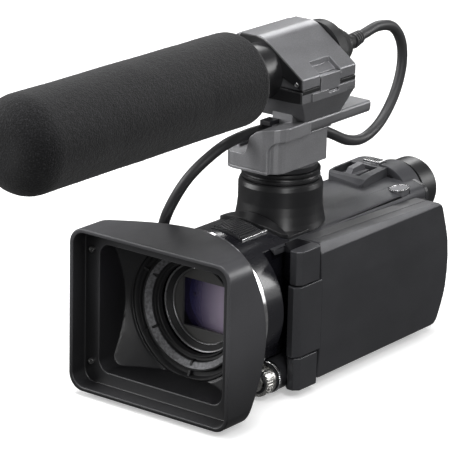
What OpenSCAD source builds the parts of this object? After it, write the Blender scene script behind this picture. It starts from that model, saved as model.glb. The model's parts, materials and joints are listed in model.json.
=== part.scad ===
// Camcorder with a rectangular lens hood, a side screen and a shoe-mounted microphone.
// The origin is the mouth of the tripod socket. The lens looks along -Y, +Z is up
// and the screen is on the +X side.

/* [Body] */
// Distance from the lens axis to the hand side
hand_x = 31; // [30.5:0.1:31.5]
// Distance from the lens axis to the screen side of the cabinets
side_x = 22; // [21.6:0.1:22]
// Height of the top cover over the base
body_h = 66; // [65.5:0.1:66.5]
// Front edge of the cabinets
body_front = -38; // [-39:0.5:-37]
// Outer face of the rear panel
body_rear = 74; // [73.5:0.1:74]
// Wall thickness of the cabinets
wall = 2; // [1.8:0.1:2.2]

/* [Lens] */
// Height of the lens axis over the base
lens_z = 37; // [36.8:0.1:37.2]
// Outer radius of the glossy lens housing
housing_r = 31; // [30.8:0.1:31]
// Outer radius of the lens barrel
barrel_r = 17; // [16.8:0.1:17.2]

/* [Hood] */
// Width of the hood's mouth
hood_w = 81.5; // [79:0.5:84]
// Height of the hood's mouth
hood_h = 69.4; // [68:0.2:72]
// Front plane of the hood
hood_front = -92; // [-94:0.5:-91]
// Thickness of the hood's lip
hood_wall = 1.8; // [1.4:0.1:2.2]

/* [Screen] */
// Outer face of the closed screen
screen_x = 35; // [34.8:0.1:35.5]
// Height of the top edge of the screen, at its front
screen_top = 62.9; // [62:0.1:63]
// Height of the bottom edge of the screen
screen_bottom = 4.5; // [4.4:0.1:5]

/* [Microphone] */
// Height of the microphone's axis
mic_z = 129.3; // [129:0.1:130]
// Radius of the foam windscreen
foam_r = 19.4; // [18.5:0.1:20]
// Front end of the windscreen
foam_front = -177.5; // [-185:0.5:-170]
// Rear end of the windscreen
foam_rear = -38.5; // [-40:0.5:-38]

/* [Adaptor] */
// Radius of the shoe column
column_r = 17.7; // [17.6:0.05:17.8]
// Underside of the adaptor block
block_z = 88; // [88:0.1:88.2]
// Diameter of the microphone cable
cable_d = 4.6; // [4:0.1:4.7]

/* [Hidden] */
$fn = 72;
gap = 0.3;
run = 0.05;
eps = 0.05;

// Body
seam_z = 58;
seam_x = -4;
front_top = 61.5;
base_t = 3;
housing_rear = -24;
housing_front = -55.5;
cavity_front = housing_rear + wall;
rear_t = 2;
body_centre = [-4, 33];

// Screen hinge, a vertical axis
hinge = [30.5, -29.5];
pocket_r = 11.8;
cap_r = 6.7;
barrel_z = [18, 48];
pin_r = 1.6;
screen_front = -22.5;
screen_split_x = 28;
screen_back_x = 22.3;

// Control dial
dial = [23, 8.3];
dial_r = 6.4;
boss_r = 5;

// Record button on the rear panel
record_at = [-21.6, 50];
record_r = 4.2;

// Oval button beside the viewfinder
mode_at = [17.4, 58];

// Viewfinder
finder = [3, 56];
finder_r = 10.8;
finder_stem_r = 7.5;
finder_step = 66;
hump_r = 14.4;
eyecup_r = 13;

// Shoe column and microphone holder
column_y = -5;
neck_r = 13;
collar_z = [81.7, 85.6];
holder_y = [-21, 16];
liner_r = 10.7;
mic_r = 9.5;
lid_hinge = [-12.2, 140.9];
latch_pivot = [20.5, 127.3];
latch_y = [-8.6, 4.6];
knuckle_r = 1.8;
rail_z = [102, 107.5];

// Hand belt
belt_c = [-hand_x, 26];
belt_z = [19, 46];

// Cable route, from the microphone's rear boot to the plug on the hand side
cable_route = [
    [0, 42, 129.3], [0, 52, 131], [0, 63, 132.5], [0, 74, 130], [0, 81, 122],
    [0, 82, 111], [0, 77, 99], [0, 67, 89], [0, 55, 84.5], [0, 43, 86],
    [-1, 32, 91], [-2.5, 22, 95.5], [-3.5, 10, 99], [-3.6, -3, 101.2], [-3.6, -14, 102],
    [-4, -25, 102], [-5.5, -36.4, 100.1], [-9.5, -44, 94.5], [-14, -48.9, 87.6], [-19, -50.4, 79.4],
    [-25, -49.4, 69.2], [-31.5, -43.5, 59.5], [-36, -34.5, 54], [-37.8, -27, 52], [-38.1, -20.9, 49],
    [-38, -18.2, 44.6], [-38, -18, 41]
];
cable_sides = 10;
cable_steps = 2;

// Outlines -----------------------------------------------------------------------------

function unit(v) = v / norm(v);

// Points of an arc of radius r that rounds corner b between a and c
function corner(a, b, c, r, n) =
    let (u = unit(a - b), w = unit(c - b), half = acos(u * w) / 2)
    let (centre = b + unit(u + w) * r / sin(half))
    let (p = b + u * r / tan(half) - centre, q = b + w * r / tan(half) - centre)
    let (turn = atan2(p.x * q.y - p.y * q.x, p * q))
    [for (i = [0:n]) let (t = turn * i / n)
        centre + [p.x * cos(t) - p.y * sin(t), p.x * sin(t) + p.y * cos(t)]];

function rounded(points, radii, n = 5) =
    let (k = len(points))
    [for (i = [0:k - 1])
        each corner(points[(i + k - 1) % k], points[i], points[(i + 1) % k], radii[i], n)];

// The body's section across the lens axis, drawn in by d
function body_outline(d = 0) =
    let (half = [(hand_x + side_x) / 2, body_h / 2], f = [1 - d / half.x, 1 - d / half.y])
    let (points = [[-24, 0], [side_x, 0], [side_x, 62.4], [12, body_h - 0.6], [-8, body_h],
                   [-24, 60], [-hand_x, 46], [-hand_x, 12]])
    rounded([for (p = points) body_centre + [(p.x - body_centre.x) * f.x, (p.y - body_centre.y) * f.y]],
            [8, 3, 4, 30, 25, 20, 20, 16]);

// The screen panel's side outline, grown by m
function panel_outline(m = 0) =
    rounded([[screen_front - m, screen_bottom - m], [66 + m, screen_bottom - m], [74.5 + m, 31],
             [66.5 + m, screen_top - 2.9 + m], [screen_front - m, screen_top + m]],
            [1.5, 5, 60, 5, 1.5]);

// The screen panel's outer face, bowed between its bottom edge and the crease below its top edge
function panel_face() =
    rounded([[screen_x - 15, 2], [screen_x - 1.4, 2], [screen_x, 18], [screen_x, 44],
             [screen_x - 0.8, 58.5], [screen_x - 3, 64], [screen_x - 15, 64]],
            [0.5, 1, 60, 60, 2, 1, 0.5]);

module rounded_rect(w, h, r) {
    square([w - 2 * r, h], center = true);
    square([w, h - 2 * r], center = true);
    for (x = [-1, 1], y = [-1, 1])
        translate([x * (w / 2 - r), y * (h / 2 - r)]) circle(r);
}

module slot_shape(length, width)
    rounded_rect(width, length, width / 2 - eps);

// Placing ------------------------------------------------------------------------------

module along_x(x0, x1)
    translate([x0, 0, 0]) rotate([90, 0, 90]) linear_extrude(x1 - x0) children();

module along_y(y0, y1)
    translate([0, y1, 0]) rotate([90, 0, 0]) linear_extrude(y1 - y0) children();

module along_z(z0, z1)
    translate([0, 0, z0]) linear_extrude(z1 - z0) children();

module block(lo, hi)
    translate(lo) cube(hi - lo);

module rod_x(y, z, r, x0, x1)
    translate([x0, y, z]) rotate([0, 90, 0]) cylinder(r = r, h = x1 - x0);

module rod_y(x, z, r, y0, y1)
    translate([x, y1, z]) rotate([90, 0, 0]) cylinder(r = r, h = y1 - y0);

module rod_z(x, y, r, z0, z1)
    translate([x, y, z0]) cylinder(r = r, h = z1 - z0);

module cone_y(x, z, r0, r1, y0, y1)
    translate([x, y0, z]) rotate([-90, 0, 0]) cylinder(r1 = r0, r2 = r1, h = y1 - y0);

module turned_y(x, z)
    translate([x, 0, z]) rotate([-90, 0, 0]) rotate_extrude() children();

// Body ---------------------------------------------------------------------------------

module finder_bore()
    union() {
        rod_y(finder.x, finder.y, finder_stem_r + gap, 38, 90);
        rod_y(finder.x, finder.y, finder_r + gap, finder_step - gap, 90);
    }

module hinge_pocket(r = pocket_r)
    rod_z(hinge.x, hinge.y, r, barrel_z[0] - 0.3 - (r - pocket_r), barrel_z[1] + 0.3 + (r - pocket_r));

module lens_room(r = housing_r + 0.1)
    rod_y(0, lens_z, r, -70, housing_rear);

module dial_room()
    rod_y(dial.x, dial.y, dial_r + 0.5, -60, -29.9);

// Everything under the top surface, which falls towards the lens, raised by m
module below_top(m = 0)
    along_x(-60, 60) polygon([
        [-70, -20], [90, -20], [90, body_h + 4], [25, body_h + m], [-10, front_top + m], [-70, front_top + m]]);

module body_form(y0, y1, d = 0)
    intersection() {
        along_y(y0, y1) polygon(body_outline(d));
        below_top(-d);
    }

module body_solid()
    difference() {
        body_form(body_front, body_rear - rear_t);
        lens_room();
        hinge_pocket();
        dial_room();
    }

module body_cavity()
    difference() {
        body_form(cavity_front, body_rear, wall);
        hinge_pocket(pocket_r + 1.4);
    }

module body_shell()
    difference() {
        body_solid();
        body_cavity();
        rod_y(0, lens_z, barrel_r + 0.1, housing_rear - 1, cavity_front + 1);
        finder_bore();
    }

module base_plate() color("#2a2b2e")
    difference() {
        union() {
            intersection() {
                body_shell();
                block([-50, -50, -1], [50, 90, base_t]);
            }
            rod_z(0, 0, 7, 1, 8);
            rod_z(0, 14, 4.6, 1, 7);
        }
        rod_z(0, 0, 4.5, -1, 9);
        rod_z(0, 14, 2.35, -1, 5.5);
        block([-15, 60, -1], [1, 66.6, 2.2]);
    }

module tripod_bush() color("#b9b9b4")
    difference() {
        rod_z(0, 0, 4.5, 0, 8);
        rod_z(0, 0, 3.175, -1, 6.5);
    }

module right_cabinet() color("#303134")
    difference() {
        intersection() {
            body_shell();
            block([-50, -50, base_t], [seam_x, 90, seam_z]);
        }
        rod_x(-18, 34, 1.9, -40, -20);
    }

module left_cabinet() color("#3a3b3f")
    intersection() {
        body_shell();
        block([seam_x, -50, base_t], [50, 90, seam_z]);
    }

module top_cover() color("#4a4b50")
    difference() {
        union() {
            intersection() {
                body_shell();
                block([-50, -50, seam_z], [50, 90, 90]);
            }
            difference() {
                rod_y(finder.x, finder.y, hump_r, finder_step - gap, 77);
                block([-50, 0, 0], [50, 90, seam_z + 3]);
                body_cavity();
                body_solid();
                along_y(body_rear - rear_t, body_rear) polygon(body_outline());
            }
        }
        finder_bore();
        along_z(60, 80) translate(mode_at) slot_shape(10.6, 7);
        block([-7.3, 64.9, 67.4], [1.8, 70.7, 80]);
    }

module zoom_plate() color("#5a5b60")
    difference() {
        intersection() {
            along_z(60, 75) polygon(rounded([[-13, 45.5], [7.5, 44], [5, 73.5], [-13, 74.5]], [4, 1.5, 3, 4]));
            along_x(-20, 20) polygon([[43, 60], [43, 66], [46.5, 68.7], [52, 69.5], [80, 70], [80, 60]]);
        }
        along_y(body_front, 90) polygon(body_outline());
        block([-12, 49, 66.4], [2.5, 63, 80]);
        block([-7.3, 64.9, 67.4], [1.8, 70.7, 80]);
        rod_y(finder.x, finder.y, hump_r + 0.1, finder_step - 2 * gap, 90);
    }

module rear_panel() color("#2c2d30")
    difference() {
        along_y(body_rear - rear_t, body_rear) polygon(body_outline());
        finder_bore();
        rod_y(record_at.x, record_at.y, record_r + gap, 60, 80);
        block([-28, body_rear - 1.5, 11], [-22, 80, 30]);
        for (z = [16, 25]) rod_y(-25, z, 2, 60, 80);
        block([-13, body_rear - 1, 8], [5, 80, 18]);
    }

// Lens ---------------------------------------------------------------------------------

module lens_housing() color("#0d0e10")
    difference() {
        rod_y(0, lens_z, housing_r, housing_front, housing_rear);
        difference() {
            rod_y(0, lens_z, housing_r - 3, housing_front + 2.5, housing_rear + 1);
            block([17.3, -46, 0], [40, 0, 90]);
            rod_y(dial.x, dial.y, dial_r + 2, -60, 0);
        }
        rod_y(0, lens_z, barrel_r + 0.1, -60, 0);
        block([19.5, -43, -10], [50, 0, 90]);
        hinge_pocket();
        dial_room();
    }

module front_ring() color("#c9c9c9")
    difference() {
        rod_y(0, lens_z, housing_r + 1.5, housing_front - 2.5, housing_front);
        rod_y(0, lens_z, housing_r - 3, housing_front - 3, housing_front + 1);
    }

module grille_sector(r0, r1, x0, x1, y0, y1)
    intersection() {
        difference() {
            rod_y(0, lens_z, r1, y0, y1);
            rod_y(0, lens_z, r0, y0 - 1, y1 + 1);
        }
        block([x0, y0 - 1, lens_z + 15], [x1, y1 + 1, lens_z + 50]);
    }

module mic_grille() color("#17181a")
    union() {
        grille_sector(housing_r + 0.05, housing_r + 0.6, -3, 12, -48, -33.5);
        for (i = [0:11])
            grille_sector(housing_r + 0.3, housing_r + 1.2, -2.4 + i * 1.2, -1.8 + i * 1.2, -47.5, -34);
    }

module trim_strip() color("#d8d8d8")
    grille_sector(housing_r + 0.05, housing_r + 1.1, 12.1, 13, -48, -31);

module lens_barrel() color("#1c1d1f")
    difference() {
        union() {
            rod_y(0, lens_z, barrel_r, -56, 6);
            rod_y(0, lens_z, 19.1, -57, housing_front);
        }
        cone_y(0, lens_z, 18.3, 16.4, -57.05, -55.6);
        rod_y(0, lens_z, 16.4, -61, -46);
        rod_y(0, lens_z, 15.4, -47, 4);
        block([-5, 3, lens_z - 4], [5, 7, lens_z + 4]);
    }

module guide_rods() color("#c4c4c4")
    for (x = [-12, 12]) rod_y(x, lens_z, 0.9, -46.1, 4);

module front_lens() color([0.45, 0.35, 0.6, 0.5])
    intersection() {
        rod_y(0, lens_z, 16.35, -53, -46.1);
        translate([0, -12.4, lens_z]) sphere(40);
    }

module lens_mask() color("#101012")
    difference() {
        rod_y(0, lens_z, 16.35, -54.4, -52.9);
        block([-12, -56, lens_z - 10.6], [12, -50, lens_z + 10]);
    }

module lens_group(y0, y1, glass_r)
    difference() {
        rod_y(0, lens_z, 14.6, y0, y1);
        for (x = [-12, 12]) rod_y(x, lens_z, 0.9 + run, y0 - 1, y1 + 1);
        for (y = [y0 - 0.6, y1 - 2]) rod_y(0, lens_z, glass_r, y, y + 2.6);
    }

module zoom_group() color("#2f3336")
    lens_group(-40, -30, 9);

module focus_group() color("#2f3336")
    lens_group(-12, -6, 7);

module sensor_board() color("#2c5a36")
    union() {
        block([-13, 6.1, lens_z - 11], [13, 7.7, lens_z + 11]);
        block([-4.5, 4.6, lens_z - 3.6], [4.5, 6.1, lens_z + 3.6]);
        block([-8, 7.7, lens_z - 6], [8, 9.7, lens_z + 6]);
    }

module main_board() color("#2c5a36")
    union() {
        block([17, -8, 6], [18.4, 62, 40]);
        for (y = [4, 26, 46]) block([14.8, y, 14], [17, y + 12, 26]);
    }

// Hood ---------------------------------------------------------------------------------

module lens_hood() color("#26272a")
    difference() {
        intersection() {
            translate([0, 0, lens_z]) along_y(hood_front, -58.6) rounded_rect(hood_w, hood_h, 7);
            cone_y(0, lens_z, 65, 31.5, -92, -58.5);
        }
        translate([0, 0, lens_z]) along_y(hood_front - 1, -84)
            rounded_rect(hood_w - 2 * hood_wall, hood_h - 2 * hood_wall, 5.5);
        intersection() {
            translate([0, 0, lens_z]) along_y(-84.1, -66) rounded_rect(63, 54.6, 5);
            cone_y(0, lens_z, 50, 29.6, -84.1, -65.9);
        }
        rod_y(0, lens_z, 28.8, -67, -58);
    }

module hood_ring() color("#3a3b3d")
    difference() {
        union() {
            difference() {
                rod_y(0, lens_z, 28.75, -66, -58.6);
                cone_y(0, lens_z, 26.9, 19.2, -66.1, -60);
            }
            intersection() {
                for (a = [45:90:315]) translate([0, 0, lens_z]) rotate([0, a, 0])
                    block([18, -64, -0.7], [27, -59, 0.7]);
                cone_y(0, lens_z, 28, 20, -66.1, -60);
            }
        }
        rod_y(0, lens_z, 19.2, -70, -50);
    }

module hood_screws() color("#55565a")
    for (x = [-35.2, 35.2], z = [-24, 24]) difference() {
        rod_y(x, lens_z + z, 1.2, -85, -84);
        block([x - 1, -86, lens_z + z - 0.2], [x + 1, -84.6, lens_z + z + 0.2]);
    }

// Control dial -------------------------------------------------------------------------

module dial_housing() color("#222326")
    difference() {
        union() {
            rod_y(dial.x, dial.y, 6.5, -42.4, -29.9);
            rod_y(dial.x, dial.y, boss_r, -50, -42);
        }
        rod_y(dial.x, dial.y, 3.9 + gap, -51, -45);
    }

module manual_dial() color("#b4b4b2")
    difference() {
        rod_y(dial.x, dial.y, dial_r, -49.8, -44.6);
        rod_y(dial.x, dial.y, boss_r + run, -51, -40);
        for (a = [0:12:348]) translate([dial.x, 0, dial.y]) rotate([0, a, 0])
            block([dial_r - 0.5, -51, -0.3], [dial_r + 1, -45.6, 0.3]);
    }

module manual_button() color("#8e8e8c")
    rod_y(dial.x, dial.y, 3.9, -51, -46.2);

// Screen -------------------------------------------------------------------------------

function cap_outline() = concat(
    [[side_x + 0.05, -31.5], [30, body_front], [33, body_front], [35, body_front + 2]],
    [for (t = [46:11:90]) [hinge.x + cap_r * cos(t), hinge.y + cap_r * sin(t)]],
    [[side_x + 0.05, hinge.y + cap_r - 0.05]]);

module hinge_caps() color("#3d3e42")
    difference() {
        union() {
            along_z(3.4, barrel_z[0] - 0.6) polygon(cap_outline());
            along_z(barrel_z[1] + 0.6, screen_top) polygon(cap_outline());
        }
        rod_z(hinge.x, hinge.y, pin_r, 14, 54);
        dial_room();
    }

module hinge_pins() color("#9a9a98")
    union() {
        rod_z(hinge.x, hinge.y, pin_r, 14, 22);
        rod_z(hinge.x, hinge.y, pin_r, 44, 54);
    }

module hinge_barrel() color("#3d3e42")
    difference() {
        along_z(barrel_z[0], barrel_z[1]) polygon([
            [35, screen_front], [24, screen_front], [24, -31], [30, -39], [33, -39.4], [35, -36.5]]);
        rod_z(hinge.x, hinge.y, pin_r + run, barrel_z[0] - 1, 22.5);
        rod_z(hinge.x, hinge.y, pin_r + run, 43.5, barrel_z[1] + 1);
    }

module screen_cover() color("#77787c")
    difference() {
        intersection() {
            along_x(screen_split_x, 37) polygon(panel_outline());
            along_y(-40, 80) polygon(panel_face());
        }
        along_x(screen_split_x - 1, screen_x - 3.4) polygon(panel_outline(-2.6));
    }

module screen_frame() color("#2c2d30")
    difference() {
        along_x(screen_back_x, screen_split_x) polygon(panel_outline());
        along_x(screen_back_x + 1.5, screen_split_x + 1) polygon(panel_outline(-2.6));
        block([0, -13, 9.5], [40, 63, 52.5]);
    }

module screen_display() color("#0b0c10")
    block([screen_back_x + 1.55, -14.2, 8.3], [screen_split_x - 1, 64.2, 53.7]);

// Viewfinder and controls --------------------------------------------------------------

module viewfinder_tube() color("#3a3b3f")
    difference() {
        union() {
            rod_y(finder.x, finder.y, finder_stem_r, 44, 70);
            rod_y(finder.x, finder.y, finder_r, finder_step, 80);
        }
        rod_y(finder.x, finder.y, finder_stem_r - 1.4, 46, 70);
        rod_y(finder.x, finder.y, finder_r - 1.6, finder_step + 2, 81);
    }

module eyecup() color("#1b1c1e")
    difference() {
        union() {
            rod_y(finder.x, finder.y, eyecup_r, 80, 89.5);
            rod_y(finder.x, finder.y, eyecup_r - 0.8, 89.5, 91);
        }
        cone_y(finder.x, finder.y, 9, 10.4, 79, 92);
    }

module eyepiece_lens() color([0.6, 0.65, 0.75, 0.5])
    intersection() {
        rod_y(finder.x, finder.y, finder_r - 1.65, 72, 79);
        translate([finder.x, 48, finder.y]) sphere(30);
    }

module diopter_lever() color("#55565a")
    difference() {
        block([finder.x - 13.4, 77.4, 53.5], [finder.x - 10, 79.7, 58.5]);
        rod_y(finder.x, finder.y, finder_r + 0.1, 70, 90);
    }

module zoom_lever() color("#4b4c50")
    union() {
        block([-7.4, 49.6, 66.8], [-1.6, 62.4, 68.2]);
        along_x(-6, -3) polygon([[50.5, 68.2], [61.6, 68.2], [60, 71.4], [52.5, 70.6]]);
    }

module photo_button() color("#dcdcdc")
    block([-7, 65.2, 68.3], [1.5, 70.4, 71.4]);

module mode_button() color("#6a6b70")
    along_z(61.6, 64.6) translate(mode_at) slot_shape(10, 6.4);

module record_button() color("#a02020")
    rod_y(record_at.x, record_at.y, record_r, body_rear - 1, body_rear + 2.2);

module battery() color("#26272a")
    union() {
        translate([-4, 0, 21.6]) along_y(body_rear + 0.2, 92) rounded_rect(32, 40.8, 3);
        block([-12.5, body_rear - 0.7, 8.5], [4.5, body_rear + 1, 17.5]);
    }

module battery_latch() color("#3a3b3f")
    union() {
        block([-14.6, 60.3, 0.9], [-4, 66.3, 1.9]);
        block([-11.5, 61.5, 0.2], [-8, 65, 0.9]);
    }

module jack_cover() color("#202124")
    union() {
        block([-28.8, body_rear + gap, 9], [-21.4, body_rear + 1.6, 31]);
        rod_z(-29.3, body_rear + 1, 0.65, 9, 31);
    }

// Hand belt ----------------------------------------------------------------------------

// Band between two half ellipses on the hand side
function belt_band(reach, span, t, a0, a1) = concat(
    [for (a = [a0:5:a1]) belt_c + [-reach * cos(a), span * sin(a)]],
    [for (a = [a1:-5:a0]) belt_c + [-(reach - t) * cos(a), (span - t) * sin(a)]]);

module grip_belt() color("#1e1e20")
    intersection() {
        along_z(belt_z[0], belt_z[1]) polygon(belt_band(17, 35, 2.4, -90, 90));
        block([-60, -20, 0], [-hand_x - 2.2, 80, 60]);
    }

module grip_pad() color("#2a2a2c")
    along_z(belt_z[0] + 1, belt_z[1] - 1) polygon(belt_band(14.55, 32.55, 3, -50, 50));

module belt_lugs() color("#3a3b3f")
    for (y = [-10, 56]) block([-hand_x - 2.2, y, 20], [-hand_x, y + 6, 45]);

// Shoe column --------------------------------------------------------------------------

// The camera's surface under the boot, grown by m
module under_boot(m)
    union() {
        intersection() {
            along_y(housing_rear, 40) polygon(body_outline(-m));
            below_top(m);
        }
        rod_y(0, lens_z, housing_r + eps + m, -60, housing_rear);
    }

// The boot's outer radius at heights over the base
boot = [[19.8, 58], [19.5, 61.5], [18.7, 64.5], [18.1, 68], [column_r, 72], [column_r, 78.8],
        [column_r - 0.5, 80.5], [16.5, 81.2]];
boot_bore = 15.4;
brim = [[-18, -8], [-18, -23], [-9, -31.5], [8, -32.5], [18.5, -26], [18.5, -8]];

module shoe_skirt() color("#242527")
    difference() {
        union() {
            translate([0, column_y, 0])
                rotate_extrude() polygon(concat(boot, [[boot_bore, 81.2], [boot_bore, 58]]));
            intersection() {
                along_z(50, 80) polygon(rounded(brim, [1, 6, 10, 10, 6, 1]));
                under_boot(1.3);
            }
        }
        rod_z(0, column_y, boot_bore, 50, 90);
        under_boot(0);
        block([-40, -50, 40], [40, 30, seam_z + 0.2]);
        block([side_x - 0.3, -50, 40], [40, 30, 90]);
    }

module shoe_column() color("#2b2c2e")
    difference() {
        union() {
            rod_z(0, column_y, boot_bore - eps, 56, collar_z[0] - gap);
            rod_z(0, column_y, neck_r, 56, block_z);
            rod_z(0, column_y, 15.2, collar_z[1] + gap, block_z);
        }
        under_boot(0);
    }

module lock_collar() color("#3a3b3d")
    difference() {
        rod_z(0, column_y, 16.5, collar_z[0], collar_z[1]);
        rod_z(0, column_y, neck_r + run, 70, 90);
        translate([0, column_y, 83.6]) rotate_extrude() translate([16.6, 0]) circle(0.8);
    }

// Outline of the block, drawn in by d
function block_plan(d = 0) =
    rounded([[-13.5 + d, -28 + d], [15 - d, -28 + d], [15 - d, 11.5 - d], [-13.5 + d, 11.5 - d]],
            [6 - d, 8 - d, 3 - d, 3 - d]);

// The arm's front view, from the cable channel up to the rail
arm_front = rounded([[-4.4, 93.6], [-1.4, 96.4], [0.6, 102.8], [4, 105.6], [9, 106.9], [15, rail_z[1]], [15, 93.6]],
                    [0.3, 1.5, 1.5, 2, 2, 0.5, 0.5]);

module adaptor_block() color("#77787b")
    difference() {
        union() {
            along_z(block_z, 95) polygon(block_plan());
            intersection() {
                along_z(93, 110) polygon(block_plan());
                along_y(-30, -5.6) polygon(arm_front);
            }
            block([1.5, -6, 93.6], [14, 11.5, rail_z[0]]);
            block([-13.1, -20, 93.6], [-10.5, 11.5, 96.6]);
            block([0, -12, 103], [10, -6, 113.5]);
        }
        difference() {
            block([-20, -40, block_z + 1.1], [20, 20, block_z + 1.4]);
            along_z(block_z, block_z + 3) polygon(block_plan(0.3));
        }
        difference() {
            along_y(-40, 20) polygon(rounded([[9.2, 80], [40, 80], [40, rail_z[0]], [9.2, rail_z[0]]], [1, 1, 1, 5]));
            along_z(70, 110) polygon(block_plan(2));
        }
    }

module rail_bar() color("#6c6d70")
    along_y(-5.6, 38) polygon(rounded([[0, rail_z[0]], [14.6, rail_z[0]], [14.6, rail_z[1]], [0, rail_z[1]]],
                                      [1, 2.4, 1.2, 1]));

module cable_clip() color("#1f2022")
    union() {
        block([-1.5, -18.5, 105.8], [3.5, -12, 107.6]);
        block([-1.5, -18.5, 104.8], [-0.6, -12, 105.8]);
    }

// Microphone holder --------------------------------------------------------------------

shell_section = rounded([[-7, rail_z[1]], [14.6, rail_z[1]], [21.3, 118.6], [21.3, 123.6],
                         [-11.2, 123.6], [-11.2, 139.6], [-14, 139.6], [-14, 116]],
                        [1, 1, 1, 0.4, 0.4, 0.4, 1, 5]);
lid_section = rounded([[0, 124.2], [-7.9, 136.9], [-10.9, 137.2], [-10.9, 143.6], [0.5, 143.6], [21.3, 128.7], [21.3, 124.2]],
                      [0.4, 0.4, 0.4, 1.5, 9, 1, 0.4]);

module holder_shell() color("#7a7b7e")
    difference() {
        union() {
            intersection() {
                along_y(holder_y[0], holder_y[1]) polygon(shell_section);
                along_x(-20, 30) polygon([[-21, 118.5], [-9, rail_z[1]], [16, rail_z[1]], [16, 145], [-21, 145]]);
            }
            rod_y(lid_hinge.x, lid_hinge.y, knuckle_r, -8, 4);
        }
        rod_y(0, mic_z, liner_r, -60, 60);
        rod_y(lid_hinge.x, lid_hinge.y, 1, -60, 60);
        rod_y(lid_hinge.x, lid_hinge.y, knuckle_r + gap, -40, -8);
        rod_y(lid_hinge.x, lid_hinge.y, knuckle_r + gap, 4, 40);
        block([18.6, latch_y[0] - 0.4, 120.8], [30, latch_y[1] + 0.4, 125]);
        block([-0.1, -12.1, 100], [10.1, -5.9, 113.6]);
    }

module holder_lid() color("#a4a5a7")
    difference() {
        union() {
            difference() {
                along_y(holder_y[0], holder_y[1]) polygon(lid_section);
                rod_y(0, mic_z, liner_r + gap, -60, 60);
            }
            rod_y(lid_hinge.x, lid_hinge.y, knuckle_r, -20, -8.3);
            rod_y(lid_hinge.x, lid_hinge.y, knuckle_r, 4.3, 15);
        }
        rod_y(lid_hinge.x, lid_hinge.y, 1 + run, -60, 60);
        rod_y(lid_hinge.x, lid_hinge.y, knuckle_r + gap, -8.3, 4.3);
        block([18.4, latch_y[0] - 0.4, 120], [30, latch_y[1] + 0.4, 128.5]);
        along_y(latch_y[0] - 0.4, latch_y[1] + 0.4)
            polygon([[15.2, 134], [15.2, 130.6], [18.4, 128.3], [30, 128.3], [30, 134]]);
        rod_y(latch_pivot.x, latch_pivot.y, 0.75, latch_y[0] - 1.4, latch_y[1] + 1.4);
    }

module holder_pin() color("#b0b0ae")
    rod_y(lid_hinge.x, lid_hinge.y, 1, -19.5, 14.5);

module lid_latch() color("#8c8d90")
    union() {
        block([19.2, latch_y[0], 121.3], [21.6, latch_y[1], 128.1]);
        rod_y(latch_pivot.x, latch_pivot.y, 0.7, latch_y[0] - 1.1, latch_y[1] + 1.1);
    }

module holder_liner() color("#1a1b1c")
    difference() {
        union() {
            rod_y(0, mic_z, liner_r, -22, 16.5);
            rod_y(0, mic_z, 11.6, -36, -21.3);
        }
        rod_y(0, mic_z, mic_r, -60, 60);
    }

module microphone() color("#2a2b2d")
    union() {
        rod_y(0, mic_z, mic_r, -150, 20);
        rod_y(0, mic_z, 13.6, 16.6, 22);
        cone_y(0, mic_z, 12.6, 8.6, 22, 31);
        rod_y(0, mic_z, 6.6, 31, 35);
        cone_y(0, mic_z, 4.4, 3.2, 35, 42);
    }

function foam_profile() = concat(
    [[0, foam_front]],
    [for (a = [0:9:90]) [foam_r - 13 + 13 * sin(a), foam_front + 13 - 13 * cos(a)]],
    [for (a = [0:15:90]) [foam_r - 3.5 + 3.5 * cos(a), foam_rear - 3.5 + 3.5 * sin(a)]],
    [[mic_r + eps, foam_rear], [mic_r + eps, -151], [0, -151]]);

module windscreen() color("#3a3b3e")
    turned_y(0, mic_z) polygon(foam_profile());

// Cable --------------------------------------------------------------------------------

function spline(p0, p1, p2, p3, t) =
    0.5 * (2 * p1 + (p2 - p0) * t + (2 * p0 - 5 * p1 + 4 * p2 - p3) * t * t
           + (3 * p1 - p0 - 3 * p2 + p3) * t * t * t);

function smooth_path(p, steps) =
    let (k = len(p) - 1)
    concat([for (i = [0:k - 1], s = [0:steps - 1])
        spline(p[max(i - 1, 0)], p[i], p[i + 1], p[min(i + 2, k)], s / steps)], [p[k]]);

function tangent(p, i) = unit(p[min(i + 1, len(p) - 1)] - p[max(i - 1, 0)]);

// Side directions carried from ring to ring, so that the tube doesn't twist
function sides_along(p, i, u) =
    let (t = tangent(p, i), v = unit(u - (u * t) * t))
    i == len(p) - 1 ? [v] : concat([v], sides_along(p, i + 1, v));

module tube(p, r, n) {
    u = sides_along(p, 0, [1, 0, 0]);
    last = len(p) - 1;
    points = [for (i = [0:last], k = [0:n - 1]) let (w = cross(tangent(p, i), u[i]))
        p[i] + r * (cos(360 * k / n) * u[i] + sin(360 * k / n) * w)];
    walls = [for (i = [0:last - 1], k = [0:n - 1])
        [i * n + k, i * n + (k + 1) % n, (i + 1) * n + (k + 1) % n, (i + 1) * n + k]];
    ends = [[for (k = [n - 1:-1:0]) k], [for (k = [0:n - 1]) last * n + k]];
    polyhedron(points, concat(walls, ends), convexity = 6);
}

module mic_cable() color("#2c2d2f")
    tube(smooth_path(cable_route, cable_steps), cable_d / 2, cable_sides);

module mic_plug() color("#2c2d2f")
    union() {
        rod_x(-18, 34, 4.4, -43, -hand_x - 0.3);
        rod_z(-38, -18, 3.2, 34, 41);
        rod_x(-18, 34, 1.75, -hand_x - 1, -22);
    }

// Parts --------------------------------------------------------------------------------

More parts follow.
